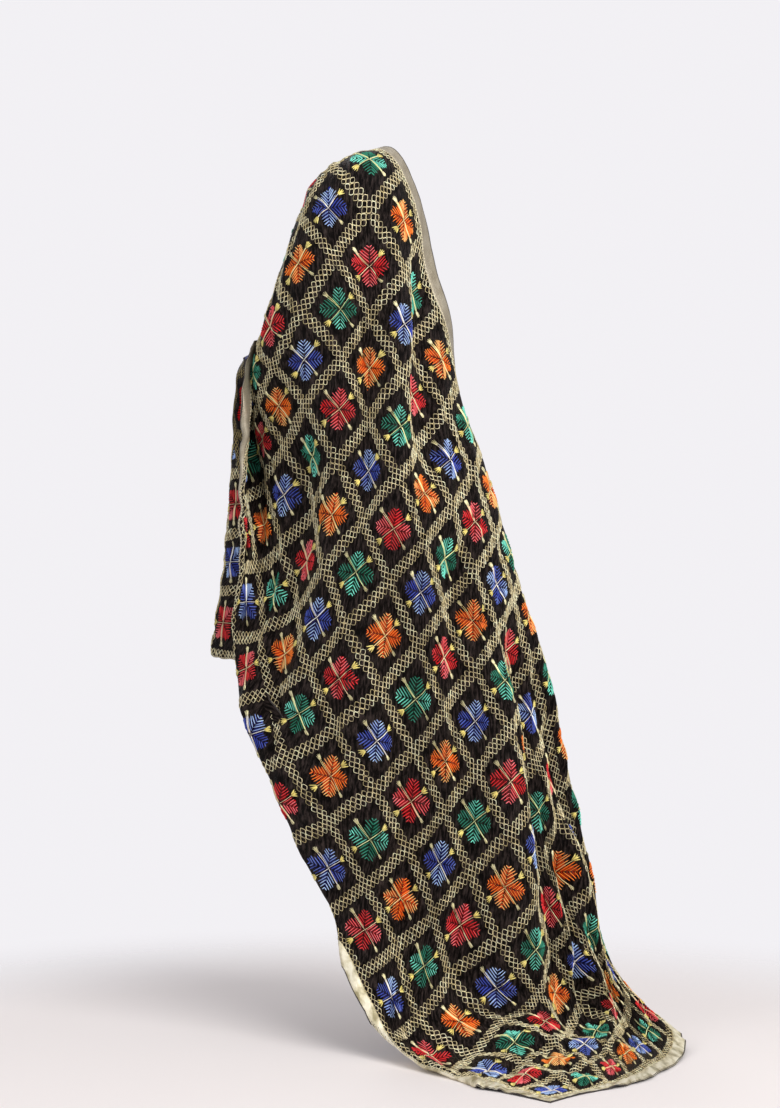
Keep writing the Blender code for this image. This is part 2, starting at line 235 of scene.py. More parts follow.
# Small moves of the cloth, in metres, that fade out round their middles
Nudge = namedtuple("Nudge", "across along reach_across reach_along shift")
NUDGES = [Nudge(*row) for row in (
    (8.30, -0.35, 1.1, 0.8, (0.017, 0.000, 0.013)),
    (8.30, 0.90, 0.9, 0.9, (0.006, -0.008, 0.000)),
    (8.10, -0.85, 1.0, 0.4, (0.010, 0.000, -0.012)),
    (8.30, -0.10, 0.22, 0.55, (-0.014, -0.014, 0.000)),
    (8.10, -0.55, 0.3, 0.30, (0.006, 0.000, 0.005)),
    (8.30, 1.80, 0.45, 1.3, (0.010, -0.004, 0.000)),
    (8.20, 3.20, 0.55, 0.9, (0.012, 0.000, 0.000)),
    (8.30, -5.00, 0.75, 3.0, (0.052, -0.004, 0.000)),
    (7.60, -6.30, 1.80, 0.9, (0.001, 0.000, -0.034)),
    (7.00, -6.00, 0.70, 0.8, (-0.009, 0.000, 0.000)),
    (8.25, 9.20, 0.42, 0.70, (-0.008, -0.004, 0.000)),
    (7.30, 10.40, 0.90, 0.80, (-0.014, -0.016, -0.012)),
    (4.90, 14.30, 2.00, 1.50, (0.008, -0.045, 0.000)),
    (0.80, 12.20, 2.00, 2.00, (-0.019, 0.000, 0.000)),
)]


def spline_weights(knots, x):
    """Weights of each knot in the natural cubic spline through the knots, one row for each x."""
    knots = np.asarray(knots, float)
    count = len(knots)
    gap = np.diff(knots)
    system = np.eye(count)
    right = np.zeros((count, count))
    for i in range(1, count - 1):
        system[i, i - 1:i + 2] = gap[i - 1], 2 * (gap[i - 1] + gap[i]), gap[i]
        right[i, i - 1:i + 2] = 6 / gap[i - 1], -6 / gap[i - 1] - 6 / gap[i], 6 / gap[i]
    bend = np.linalg.solve(system, right)
    unit = np.eye(count)
    left = np.clip(np.searchsorted(knots, x, side="right") - 1, 0, count - 2)
    width = gap[left][:, None]
    b = (x - knots[left])[:, None] / width
    a = 1 - b
    curve = ((a ** 3 - a) * bend[left] + (b ** 3 - b) * bend[left + 1]) * width ** 2 / 6
    return a * unit[left] + b * unit[left + 1] + curve


GUIDE_POINTS = np.array([row[1:] for row in SECTIONS])
GUIDE_STATIONS = [row.along for row in SECTIONS]

# How far apart, in cells, the places are that a slope of the cloth or of its edge is taken from
SLOPE_STEP = 0.02
EDGE_STEP = 0.03


def smooth_cloth(across, along):
    """The cloth before its folds."""
    by_section = spline_weights(GUIDE_STATIONS, along)
    by_guide = spline_weights(GUIDES_ACROSS, across)
    return np.einsum("ns,ng,sgd->nd", by_section, by_guide, GUIDE_POINTS)


def unit_rows(vectors):
    return vectors / np.linalg.norm(vectors, axis=-1, keepdims=True)


def share_of(value, start, end):
    """0 at the start and 1 at the end."""
    return np.clip((value - start) / (end - start), 0, 1)


def smooth(share):
    return share * share * (3 - 2 * share)


def fade(run, start, end):
    """1 along a fold's run, falling to 0 smoothly at both ends."""
    return smooth(share_of(run, start, start + FADE)) * smooth(share_of(run, end, end - FADE))


def pucker_height(across, along):
    """How far the gathered edges stand out or in."""
    from_long_edge = np.minimum(across - LOW_ACROSS, HIGH_ACROSS - across)
    from_end = np.minimum(along - LOW_ALONG, HIGH_ALONG - along)
    height = np.zeros_like(across)
    wander = sum(size * np.sin(along * a + across * c) for size, a, c in PUCKER_WANDER)
    for wave in PUCKERS:
        turns = 2 * math.pi / wave.wavelength
        height += wave.depth * np.exp(-from_long_edge / wave.reach) * np.sin(turns * along + wander)
        height += wave.depth * np.exp(-from_end / wave.reach) * np.sin(turns * across + wander)
    return height


def wrinkle_height(across, along):
    """Small wrinkles: they run down the drape, which is the other diagonal on the front fall."""
    hang = np.clip(along + 1.5, -1, 1)
    side = along - across * hang
    down = along * hang + across
    height = np.zeros_like(across)
    for wave in WRINKLES:
        wander = wave.wander * np.sin(1.7 * down + wave.phase) + wave.wander * np.sin(0.9 * down - 2.3 * side)
        patch = 0.65 + 0.35 * np.sin(1.1 * down + 1.9 * side + 2 * wave.phase)
        turns = (side + wave.lean * down + wander) / wave.wavelength
        height += wave.depth * patch * np.sin(2 * math.pi * turns + wave.phase)
    return height


def folded_cloth(across, along):
    """The middle of the cloth, with its folds and creases, resting on the floor where it reaches it."""
    place = smooth_cloth(across, along)
    step = SLOPE_STEP
    slope_across = (smooth_cloth(across + step, along) - smooth_cloth(across - step, along)) / (2 * step)
    slope_along = (smooth_cloth(across, along + step) - smooth_cloth(across, along - step)) / (2 * step)
    outward = unit_rows(np.cross(slope_across, slope_along))
    for fold in FOLDS + CREASES:
        if fold.kind == "drop":
            position, run = along - across, along + across
            sideways = (slope_along - slope_across) / 2
        elif fold.kind == "lay":
            position, run = along + across, across - along
            sideways = (slope_along + slope_across) / 2
        else:
            position, run = across, along
            sideways = slope_across
        offset = (position - fold.line - fold.drift * (run - fold.start)) / fold.spread
        window = fade(run, fold.start, fold.end)
        height = fold.depth * window * np.exp(-offset ** 2 / 2)
        gather = BUNCHING * fold.spread * window * offset * np.exp(-offset ** 2)
        place = place + height[:, None] * outward + gather[:, None] * sideways
    calm = CALM_SHARE * np.exp(-((across - LOW_ACROSS) / CALM_IN) ** 2
                               - ((along - CALM_ALONG) / CALM_REACH) ** 4)
    height = (pucker_height(across, along) + wrinkle_height(across, along)) * (1 - calm)
    place = place + height[:, None] * outward
    place[:, 2] = np.maximum(place[:, 2], LOWEST)
    return place


def turn_line(along):
    """The line across the cloth where it turns, and how far the cloth before it is drawn outward."""
    line = np.minimum(spline_weights(TURN_STATIONS, along) @ TURN_LINES, HIGH_ACROSS)
    return line, TURN_PULL * (HIGH_ACROSS - line)


def turn_frame(along):
    """The even directions of the turn: over the cloth toward its edge, and out of its face."""
    toward = np.zeros((len(along), 3))
    outward = np.zeros((len(along), 3))
    for shift in np.linspace(-TURN_EVEN, TURN_EVEN, TURN_SAMPLES):
        near = np.clip(along + shift, LOW_ALONG, HIGH_ALONG)
        line, slack = turn_line(near)
        edge = line + slack
        over = folded_cloth(edge, near) - folded_cloth(edge - EDGE_STEP, near)
        forward = folded_cloth(edge, near + EDGE_STEP) - folded_cloth(edge, near - EDGE_STEP)
        toward += unit_rows(over)
        outward += unit_rows(np.cross(over, forward))
    toward = unit_rows(toward)
    outward = outward - (outward * toward).sum(-1, keepdims=True) * toward
    return toward, unit_rows(outward)


def rolled_under(beyond, toward, outward):
    """The way from a turn's line to cloth that is so many cells past it."""
    beyond = beyond * CELL
    bend = np.minimum(beyond / TURN_RADIUS, TURN_ANGLE)
    straight = np.clip(beyond - TURN_RADIUS * TURN_ANGLE, 0, None)
    sideways = TURN_RADIUS * np.sin(bend) + straight * math.cos(TURN_ANGLE)
    inward = TURN_RADIUS * (1 - np.cos(bend)) + straight * math.sin(TURN_ANGLE)
    return sideways[:, None] * toward - inward[:, None] * outward


def turned_cloth(across, along):
    """The folded cloth with its outer edge rolled under along the turn's line."""
    line, slack = turn_line(along)
    flat = np.minimum(across, line)
    drawn = slack * share_of(flat, TURN_START, line) ** TURN_EASE
    spread = (ARM_SPREAD * np.exp(-((along - ARM_ALONG) / ARM_REACH) ** 4)
              * share_of(flat, TURN_START, ARM_GOTA) * share_of(flat, HIGH_ACROSS, ARM_GOTA))
    place = folded_cloth(flat + drawn - spread, along)
    stations, station = np.unique(along, return_inverse=True)
    toward, outward = turn_frame(stations)
    place = place + rolled_under(across - flat, toward[station], outward[station])
    for nudge in NUDGES:
        near = np.exp(-((across - nudge.across) / nudge.reach_across) ** 2
                      - ((along - nudge.along) / nudge.reach_along) ** 2)
        place = place + near[:, None] * np.array(nudge.shift)
    rest = REST_SHARE * share_of(along, REST_ALONG, REST_FULL)
    rest = rest * share_of(across, REST_ACROSS, 2 * REST_ACROSS)
    place[:, 2] = LOWEST + np.maximum(place[:, 2] - LOWEST, 0) * (1 - rest)
    return place


def hemmed_cloth(across, along):
    """The turned cloth with its front end rolled under as well, near the outer corner."""
    hem = LOW_ALONG + (HEM_ALONG - LOW_ALONG) * smooth(share_of(across, HEM_FROM, HEM_FULL))
    level = np.maximum(along, hem)
    place = turned_cloth(across, level)
    past = np.flatnonzero(along < hem)
    c, a = across[past], level[past]
    before = turned_cloth(c, a + EDGE_STEP)
    over = turned_cloth(c + EDGE_STEP, a) - turned_cloth(c - EDGE_STEP, a)
    toward = unit_rows(place[past] - before)
    outward = unit_rows(np.cross(over, before - place[past]))
    place[past] += rolled_under(a - along[past], toward, outward)
    return place


# The cloth's own grid: everything sewn on it is placed from these points.
LINES_ACROSS = np.concatenate((np.linspace(LOW_ACROSS, CLOSE_FROM, WIDE_STEPS, endpoint=False),
                               np.linspace(CLOSE_FROM, HIGH_ACROSS, CLOSE_STEPS + 1)))
LINES_ALONG = np.linspace(LOW_ALONG, HIGH_ALONG, STEPS_ALONG + 1)
GRID_ACROSS, GRID_ALONG = np.meshgrid(LINES_ACROSS, LINES_ALONG, indexing="ij")
POINTS = hemmed_cloth(GRID_ACROSS.ravel(), GRID_ALONG.ravel()).reshape(GRID_ACROSS.shape + (3,))
OUTWARD = unit_rows(np.cross(np.gradient(POINTS, axis=0), np.gradient(POINTS, axis=1)))


def over_cloth(across, along, height):
    """Points at these places, so high over the middle of the cloth: one height, or one for each."""
    i = np.interp(across, LINES_ACROSS, np.arange(STEPS_ACROSS + 1))
    j = np.clip((along - LOW_ALONG) / (HIGH_ALONG - LOW_ALONG) * STEPS_ALONG, 0, STEPS_ALONG)
    i0 = np.minimum(i.astype(int), STEPS_ACROSS - 1)
    j0 = np.minimum(j.astype(int), STEPS_ALONG - 1)
    s = (i - i0)[..., None]
    t = (j - j0)[..., None]

    def blend(grid):
        near = grid[i0, j0] * (1 - s) + grid[i0 + 1, j0] * s
        far = grid[i0, j0 + 1] * (1 - s) + grid[i0 + 1, j0 + 1] * s
        return near * (1 - t) + far * t

    points = blend(POINTS) + unit_rows(blend(OUTWARD)) * np.asarray(height)[..., None]
    points[..., 2] = np.maximum(points[..., 2], FLOOR + FLOOR_GAP)
    return points


# ---------------------------------------------------------------- mesh helpers

def add_object(name, data):
    made = bpy.data.objects.new(name, data)
    bpy.context.scene.collection.objects.link(made)
    return made


def add_piece(name, vertices, faces, material, replaces=(), uv=None, tint=None):
    """A smooth mesh riding on the frame. faces is one array, uv and tint have a row for each vertex."""
    vertices = np.asarray(vertices, np.float32).reshape(-1, 3)
    faces = np.asarray(faces, np.int32)
    mesh = bpy.data.meshes.new(name)
    mesh.vertices.add(len(vertices))
    mesh.vertices.foreach_set("co", vertices.ravel())
    mesh.loops.add(faces.size)
    mesh.loops.foreach_set("vertex_index", faces.ravel())
    mesh.polygons.add(len(faces))
    mesh.polygons.foreach_set("loop_start", np.arange(0, faces.size, faces.shape[1], dtype=np.int32))
    mesh.update(calc_edges=True)
    mesh.validate()
    if uv is not None:
        layer = mesh.uv_layers.new(name="cloth")
        layer.data.foreach_set("uv", np.asarray(uv, np.float32)[faces.ravel()].ravel())
    if tint is not None:
        colors = np.ones((len(vertices), 4), np.float32)
        colors[:, :3] = tint
        layer = mesh.color_attributes.new("tint", "FLOAT_COLOR", "POINT")
        layer.data.foreach_set("color", colors.ravel())
    mesh.materials.append(material)
    mesh.shade_smooth()
    piece = add_object(name, mesh)
    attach(piece, "root")
    if replaces:
        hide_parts(*replaces)
    return piece


def quad_faces(index):
    """Four-cornered faces over a grid of vertex numbers."""
    return np.stack((index[:-1, :-1], index[1:, :-1], index[1:, 1:], index[:-1, 1:]), -1).reshape(-1, 4)


def rim_faces(index):
    """Faces that close the edge of a shell whose lower grid comes first and its upper one after it."""
    rim = np.concatenate((index[:-1, 0], index[-1, :-1], index[:0:-1, -1], index[0, :0:-1]))
    following = np.roll(rim, -1)
    return np.stack((rim, following, following + index.size, rim + index.size), -1)


def add_shell(name, across, along, low, high, material, replaces=()):
    """A thin closed shell over grids of places, between two heights."""
    index = np.arange(across.size).reshape(across.shape)
    vertices = np.concatenate((over_cloth(across, along, low), over_cloth(across, along, high)))
    faces = np.concatenate((quad_faces(index)[:, ::-1], quad_faces(index + index.size), rim_faces(index)))
    uv = np.tile(np.stack((across.ravel(), along.ravel()), -1), (2, 1))
    return add_piece(name, vertices, faces, material, replaces, uv)


# ---------------------------------------------------------------- materials

class Nodes:
    """A short way to write a material's nodes."""

    def __init__(self, name):
        self.material = bpy.data.materials.new(name)
        self.material.use_nodes = True
        self.tree = self.material.node_tree
        self.shader = self.tree.nodes["Principled BSDF"]

    def put(self, value, socket):
        if isinstance(value, bpy.types.NodeSocket):
            self.tree.links.new(value, socket)
        else:
            socket.default_value = value

    def add(self, kind, inputs=(), **settings):
        node = self.tree.nodes.new(kind)
        for key, value in settings.items():
            setattr(node, key, value)
        for key, value in dict(inputs).items():
            self.put(value, node.inputs[key])
        return node

    def math(self, operation, *values):
        return self.add("ShaderNodeMath", enumerate(values), operation=operation).outputs[0]

    def gap(self, first, second):
        return self.math("ABSOLUTE", self.math("SUBTRACT", first, second))

    def mix(self, factor, first, second, kind="MIX"):
        inputs = {0: factor, 6: first, 7: second}
        return self.add("ShaderNodeMix", inputs, data_type="RGBA", blend_type=kind).outputs[2]

    def vector(self, x, y, z=0.0):
        return self.add("ShaderNodeCombineXYZ", {0: x, 1: y, 2: z}).outputs[0]

    def noise(self, vector, scale, detail=3.0, roughness=0.5):
        inputs = {"Vector": vector, "Scale": scale, "Detail": detail, "Roughness": roughness}
        return self.add("ShaderNodeTexNoise", inputs).outputs["Fac"]

    def spread(self, value, low, high, start=0.0, end=1.0, **settings):
        """From low to high, as the value goes from start to end."""
        inputs = {"Value": value, "From Min": start, "From Max": end, "To Min": low, "To Max": high}
        return self.add("ShaderNodeMapRange", inputs, **settings).outputs[0]

    def place(self):
        return self.add("ShaderNodeTexCoord").outputs["Object"]

    def ramp(self, factor, stops, interpolation="LINEAR"):
        node = self.add("ShaderNodeValToRGB", {0: factor})
        node.color_ramp.interpolation = interpolation
        elements = node.color_ramp.elements
        while len(elements) < len(stops):
            elements.new(0.5)
        for element, (place, color) in zip(elements, stops):
            element.position = place
            element.color = (*color, 1.0)
        return node.outputs[0]

    def bump(self, height, strength, distance, normal=None):
        inputs = {"Strength": strength, "Distance": distance, "Height": height}
        if normal is not None:
            inputs["Normal"] = normal
        return self.add("ShaderNodeBump", inputs).outputs[0]

    def finish(self, **sockets):
        """Fills the shader's sockets, named with _ for a space, and gives the material."""
        for key, value in sockets.items():
            self.put(value, self.shader.inputs[key.replace("_", " ")])
        return self.material


# Floss colours by the pattern's colour number: a dark and a light shade, the glint of a stitch that
# catches the light, and the cross's thread
Floss = namedtuple("Floss", "dark light glint cross")
ORANGE = Floss((0.52, 0.035, 0.002), (1.00, 0.170, 0.006), (1.00, 0.54, 0.19), (1.00, 0.76, 0.34))
BLUE = Floss((0.002, 0.004, 0.060), (0.009, 0.021, 0.390), (0.48, 0.66, 1.00), (1.00, 0.92, 0.84))
GREEN = Floss((0.001, 0.022, 0.013), (0.002, 0.135, 0.068), (0.24, 0.90, 0.70), (0.88, 0.93, 0.46))
CRIMSON = Floss((0.150, 0.001, 0.002), (0.700, 0.007, 0.010), (1.00, 0.20, 0.22), (1.00, 0.74, 0.44))
FLOSSES = (ORANGE, BLUE, GREEN, CRIMSON)
GOLD = (0.45, 0.35, 0.15)
PALE_GOLD = (1.00, 0.89, 0.60)
CREAM_GOLD = (0.90, 0.82, 0.48)
BUD_GOLD = (0.90, 0.76, 0.24)
BLACK = (0.0030, 0.0020, 0.0018)
# Painted sheen on the silk's crinkles, and the piping's grain
SHEEN_AND_GRAIN_BROWN = (0.0660, 0.0475, 0.0430)

# The chain lattice: rings on every other point of a grid of 20 steps to a cell
RING_STEPS = 20


def crinkled_silk(nodes, across, along):
    """Colour, roughness and bump of the ground silk: soft crinkles down the drop, with painted sheen on them,
    over a fine weave.
    """
    down = nodes.math("ADD", across, along)
    side = nodes.math("SUBTRACT", along, across)
    streak = nodes.vector(side, nodes.math("MULTIPLY", down, 0.22))
    crinkle = nodes.noise(streak, 17.0, 5.0, 0.70)
    wrinkle = nodes.noise(streak, 4.0, 2.0, 0.5)
    weave = nodes.noise(nodes.vector(across, along), 260.0, 1.0)
    normal = nodes.bump(wrinkle, 0.80, 0.010)
    normal = nodes.bump(crinkle, 1.00, 0.0080, normal)
    normal = nodes.bump(weave, 0.25, 0.0003, normal)
    # Painted sheen: the crinkles are painted brown in streaks, standing in for the silk's highlights
    color = nodes.ramp(crinkle, ((0.46, BLACK), (0.70, SHEEN_AND_GRAIN_BROWN)))
    return color, nodes.spread(wrinkle, 0.30, 0.50), normal


def cloth_places(nodes):
    uv = nodes.add("ShaderNodeUVMap", uv_map="cloth").outputs[0]
    split = nodes.add("ShaderNodeSeparateXYZ", {0: uv})
    return split.outputs[0], split.outputs[1]


SILK_SPECULAR = 0.05


def black_silk():
    nodes = Nodes("black_silk_face")
    color, rough, normal = crinkled_silk(nodes, *cloth_places(nodes))
    return nodes.finish(Base_Color=color, Roughness=rough, Normal=normal, Specular_IOR_Level=SILK_SPECULAR,
                        Sheen_Weight=0.015, Sheen_Roughness=0.35, Sheen_Tint=(0.62, 0.50, 0.46, 1.0))


def within(nodes, value, low, high):
    above = nodes.math("GREATER_THAN", value, low)
    return nodes.math("MULTIPLY", above, nodes.math("LESS_THAN", value, high))


# The wrong side. A ring's radius and half its thread's width are in steps of the rings' diagonal grid,
# and BACK_LINE is how far off a lattice line rings lie, in steps of the fine grid. The rest is in cells:
# how far past the pattern it goes, and by how much a petal is shorter, ragged and drawn in at its sides.
BACK_RING = 0.49
BACK_THREAD = 0.10
BACK_LINE = 1.2
BACK_EDGE = 0.05
BACK_SHORT = 0.02
BACK_RAGGED = 0.025
BACK_SHOULDER = 0.39


def flat_rings(nodes, across, along):
    """1 where the wrong side shows a ring's thread."""
    diagonals = [nodes.math("MULTIPLY", nodes.math(combine, across, along), RING_STEPS / 2)
                 for combine in ("ADD", "SUBTRACT")]
    nearest = [nodes.math("ROUND", place) for place in diagonals]
    cubes = [nodes.math("POWER", nodes.gap(*pair), 3.0) for pair in zip(diagonals, nearest)]
    from_centre = nodes.math("POWER", nodes.math("ADD", *cubes), 1 / 3)
    thread = nodes.math("LESS_THAN", nodes.gap(from_centre, BACK_RING), BACK_THREAD)
    on_line = 0.0
    for combine in ("ADD", "SUBTRACT"):
        away = nodes.math("PINGPONG", nodes.math(combine, *nearest), RING_STEPS / 2)
        on_line = nodes.math("MAXIMUM", on_line, nodes.math("LESS_THAN", away, BACK_LINE))
    return nodes.math("MULTIPLY", thread, on_line)


def flat_petals(nodes, across, along):
    """1 where the wrong side shows a petal, and the petals' colours."""
    p, q = (nodes.gap(nodes.math("FRACT", place), 0.5) for place in (across, along))
    off_vein = nodes.math("MULTIPLY", nodes.gap(p, q), math.sqrt(0.5))
    stripe = math.sqrt(2) * PETAL.step / CELL
    stripe_turns = nodes.math("FRACT", nodes.math("DIVIDE", nodes.math("MINIMUM", p, q), stripe))
    light = nodes.math("GREATER_THAN", stripe_turns, 0.5)
    squares = [nodes.math("MULTIPLY", side, side) for side in (p, q)]
    radius = nodes.math("SQRT", nodes.math("ADD", *squares))
    ragged = nodes.math("MULTIPLY", stripe_turns, BACK_RAGGED)
    tip = nodes.math("ADD", PETAL.reach / CELL - BACK_SHORT, ragged)
    reach = nodes.math("SUBTRACT", tip, nodes.math("MULTIPLY", off_vein, BACK_SHOULDER))
    row = nodes.math("MULTIPLY", nodes.math("FLOOR", along), 2.0)
    number = nodes.math("ADD", nodes.math("SUBTRACT", row, nodes.math("FLOOR", across)), 2.0)
    number = nodes.math("ADD", nodes.math("FLOORED_MODULO", number, 4.0), 0.5)
    place = nodes.math("DIVIDE", number, 4.0)
    shades = [nodes.ramp(place, [(i / 4, floss[shade]) for i, floss in enumerate(FLOSSES)], "CONSTANT")
              for shade in (0, 1)]
    return nodes.math("LESS_THAN", radius, reach), nodes.mix(light, *shades)


def wrong_side_silk():
    """The back of the work: the same silk, with the rings and flowers as flat thread."""
    nodes = Nodes("black_silk_wrong_side")
    across, along = cloth_places(nodes)
    silk, rough, normal = crinkled_silk(nodes, across, along)
    inside = nodes.math("MULTIPLY", within(nodes, across, -BACK_EDGE, CELLS_ACROSS + BACK_EDGE),
                        within(nodes, along, FIRST_CELL - BACK_EDGE, LAST_CELL + BACK_EDGE))
    ring = nodes.math("MULTIPLY", flat_rings(nodes, across, along), inside)
    petal, floss = flat_petals(nodes, across, along)
    petal = nodes.math("MULTIPLY", petal, inside)
    color = nodes.mix(ring, nodes.mix(petal, silk, floss), (*GOLD, 1.0))
    normal = nodes.bump(nodes.math("MAXIMUM", ring, petal), 0.5, 0.0006, normal)
    return nodes.finish(Base_Color=color, Roughness=rough, Normal=normal, Specular_IOR_Level=SILK_SPECULAR)


def thread_material(name, roughness, metallic, specular):
    """Twisted thread: its colour is in the tint, and a fine fuzz breaks it up."""
    nodes = Nodes(name)
    tint = nodes.add("ShaderNodeVertexColor", layer_name="tint").outputs[0]
    fuzz = nodes.noise(nodes.place(), 900.0, 2.0)
    shade = nodes.spread(fuzz, 0.72, 1.25)
    color = nodes.mix(1.0, tint, nodes.vector(shade, shade, shade), "MULTIPLY")
    return nodes.finish(Base_Color=color, Roughness=roughness, Normal=nodes.bump(fuzz, 0.35, 0.0004),
                        Metallic=metallic, Specular_IOR_Level=specular)


# Painted sheen: the ribbon's brighter and darker patches, standing in for its satin highlights and shade
RIBBON_PAINTED_SHEEN = ((0.36, (0.34, 0.29, 0.15)), (0.48, (0.72, 0.65, 0.44)), (0.60, (1.00, 0.94, 0.74)))
RIBBON_RIBS = ((0.35, (0.24, 0.20, 0.12)), (0.65, (0.90, 0.83, 0.62)))
# Painted shade: the darker colours the ribbon is painted with up the drape
RIBBON_PAINTED_SHADE = ((0.35, (0.24, 0.20, 0.145)), (0.65, (0.42, 0.365, 0.28)))


def gota_ribbon():
    """Woven metallic ribbon: fine ribs, and brighter and darker patches of painted sheen. Up the drape it is
    painted darker, a painted shade, where the photo shows it in shade."""
    nodes = Nodes("pale_gold_gota")
    across, along = cloth_places(nodes)
    patch = nodes.noise(nodes.vector(across, along), 4.5, 3.0)
    lean = nodes.math("MULTIPLY", nodes.math("SUBTRACT", along, across), 0.4)
    rib = nodes.noise(nodes.vector(nodes.math("ADD", across, along), lean), 90.0, 2.0)
    weave = nodes.noise(nodes.vector(across, along), 420.0, 1.0)
    # Painted sheen in patches, with the ribs' own colour mixed in
    color = nodes.mix(0.12, nodes.ramp(patch, RIBBON_PAINTED_SHEEN), nodes.ramp(rib, RIBBON_RIBS))
    # Painted shade: the ribbon is painted darker up the drape, fading out between along 4.5 and 8.5
    painted_shade = nodes.spread(along, 0.85, 0.0, 4.5, 8.5)
    color = nodes.mix(painted_shade, color, nodes.ramp(rib, RIBBON_PAINTED_SHADE))
    normal = nodes.bump(patch, 0.5, 0.004)
    normal = nodes.bump(rib, 0.5, 0.0012, normal)
    normal = nodes.bump(weave, 0.3, 0.0004, normal)
    rough = nodes.spread(rib, 0.26, 0.46)
    return nodes.finish(Base_Color=color, Roughness=rough, Normal=normal, Metallic=0.30)


def piping_material():
    nodes = Nodes("black_piping")
    grain = nodes.noise(nodes.place(), 700.0, 2.0)
    color = nodes.ramp(grain, ((0.3, BLACK), (0.8, SHEEN_AND_GRAIN_BROWN)))
    return nodes.finish(Base_Color=color, Roughness=0.5, Normal=nodes.bump(grain, 0.3, 0.0004))


# ---------------------------------------------------------------- the ground cloth and its border

def build_ground():
    ground = add_shell("phulkari_ground_cloth", GRID_ACROSS, GRID_ALONG, -FACE, FACE, black_silk(),
                       ["ground_" + name for name in STRETCHES])
    ground.data.materials.append(wrong_side_silk())
    wrong_side = np.zeros(len(ground.data.polygons), np.int32)
    wrong_side[:STEPS_ACROSS * STEPS_ALONG] = 1
    ground.data.polygons.foreach_set("material_index", wrong_side)
    return ground


GOTA_STEPS = 6
GOTA_LIFT = 0.0004
GOTA_CROWN = 0.0008


def gota_places(edge):
    """A grid of places over one mitred strip, and how far in from the cloth's edge each is, in cells."""
    lengthwise = edge in ("inner", "outer")
    (low, high), (start, end) = LIMITS if lengthwise else LIMITS[::-1]
    inward = np.linspace(0, GOTA_WIDTH / CELL, GOTA_STEPS + 1)[:, None]
    share = np.linspace(0, 1, (STEPS_ALONG if lengthwise else STEPS_ACROSS) * 2 + 1)[None, :]
    run = start + inward + share * (end - start - 2 * inward)
    beside = low + inward + 0 * share
    if edge in ("outer", "back"):
        run, beside = run[::-1], (high - inward + 0 * share)[::-1]
    inward = np.minimum(beside - low, high - beside)
    return (beside, run, inward) if lengthwise else (run.T, beside.T, inward.T)


def build_gota(material):
    """Four ribbons laid on the border, each slightly crowned between its sewn edges."""
    strips = []
    for name in ("inner_edge", "outer_edge", "front_end", "back_end"):
        across, along, inward = gota_places(name.split("_")[0])
        width = inward * CELL / GOTA_WIDTH
        high = FACE + GOTA_LIFT + GOTA_CROWN * np.sqrt(np.clip(4 * width * (1 - width), 0, 1))
        strips.append(add_shell("gota_ribbon_" + name, across, along, FACE / 2, high, material,
                                ["gota_" + name]))
    return strips


PIPING_RADIUS = 0.0013
PIPING_SIDES = 8
PIPING_INSET = 0.0015 / CELL


def build_piping(material):
    """A thin black cord sewn all round, just outside the gota."""
    long_share = np.linspace(0, 1, STEPS_ALONG * 2, endpoint=False)
    short_share = np.linspace(0, 1, STEPS_ACROSS * 2, endpoint=False)
    across = np.concatenate((np.full(long_share.shape, LOW_ACROSS + PIPING_INSET),
                             LOW_ACROSS + short_share * (HIGH_ACROSS - LOW_ACROSS)))
    along = np.concatenate((LOW_ALONG + long_share * (HIGH_ALONG - LOW_ALONG),
                            np.full(short_share.shape, HIGH_ALONG - PIPING_INSET)))
    # The way back is the way there, turned by half a turn
    across = np.concatenate((across, LOW_ACROSS + HIGH_ACROSS - across))
    along = np.concatenate((along, LOW_ALONG + HIGH_ALONG - along))
    line = over_cloth(across, along, 0.0)
    outward = unit_rows(over_cloth(across, along, 0.01) - line)
    forward = unit_rows(np.roll(line, -1, 0) - np.roll(line, 1, 0))
    side = unit_rows(np.cross(forward, outward))
    turn = np.linspace(0, 2 * math.pi, PIPING_SIDES, endpoint=False)
    ring = np.cos(turn)[:, None, None] * outward + np.sin(turn)[:, None, None] * side
    vertices = line + PIPING_RADIUS * ring
    vertices[..., 2] = np.maximum(vertices[..., 2], FLOOR + FLOOR_GAP)
    index = np.arange(PIPING_SIDES * len(across)).reshape(PIPING_SIDES, -1)
    faces = quad_faces(np.pad(index, 1, mode="wrap")[1:, 1:])
    return add_piece("black_piping", vertices, faces, material)


# ---------------------------------------------------------------- embroidery

def stretch_of(along):
    """Which of the five stretches a place is on."""
    return np.clip(np.searchsorted(STRETCH_ENDS, along, side="right") - 1, 0, len(STRETCHES) - 1)


def mixed(first, second, share):
    return np.array(first) * (1 - share) + np.array(second) * share


def add_copies(name, points, template, material, tint):
    """Many like things as one piece. points has a row for each, and template is the first one's faces."""
    offsets = np.arange(len(points)) * (points[0].size // 3)
    faces = (template[None] + offsets[:, None, None]).reshape(-1, template.shape[1])
    return add_piece(name, points, faces, material, tint=np.clip(tint, 0, 1))


RING_SIDES = 8
RING_MIDDLE = CELL / RING_STEPS / math.sqrt(2)
RING_THREAD = 0.00094
RING_CORNER = 1.20
RING_HEIGHT = 0.0011
RING_SINK = 0.0001
# How much lighter one side of each ring is painted, a painted highlight, and the other side darker
RING_PAINTED_HIGHLIGHT = 0.38
RING_MISS = 0.00022
RING_SIZES = (0.96, 1.05)
RING_SQUASH = 0.05
RING_PALENESS = (0.1, 0.9)


def near_line(step):
    """Whether a step of the fine grid is on a lattice line or next to it."""
    return np.abs((step + RING_STEPS // 2) % RING_STEPS - RING_STEPS // 2) <= 1


def ring_centres():
    """The places of all the rings, in cells."""
    steps_across = np.arange(CELLS_ACROSS * RING_STEPS + 1)
    steps_along = np.arange(FIRST_CELL * RING_STEPS, LAST_CELL * RING_STEPS + 1)
    step_c, step_a = np.meshgrid(steps_across, steps_along, indexing="ij")
    keep = ((step_c + step_a) % 2 == 0) & (near_line(step_c) | near_line(step_a))
    return step_c[keep] / RING_STEPS, step_a[keep] / RING_STEPS


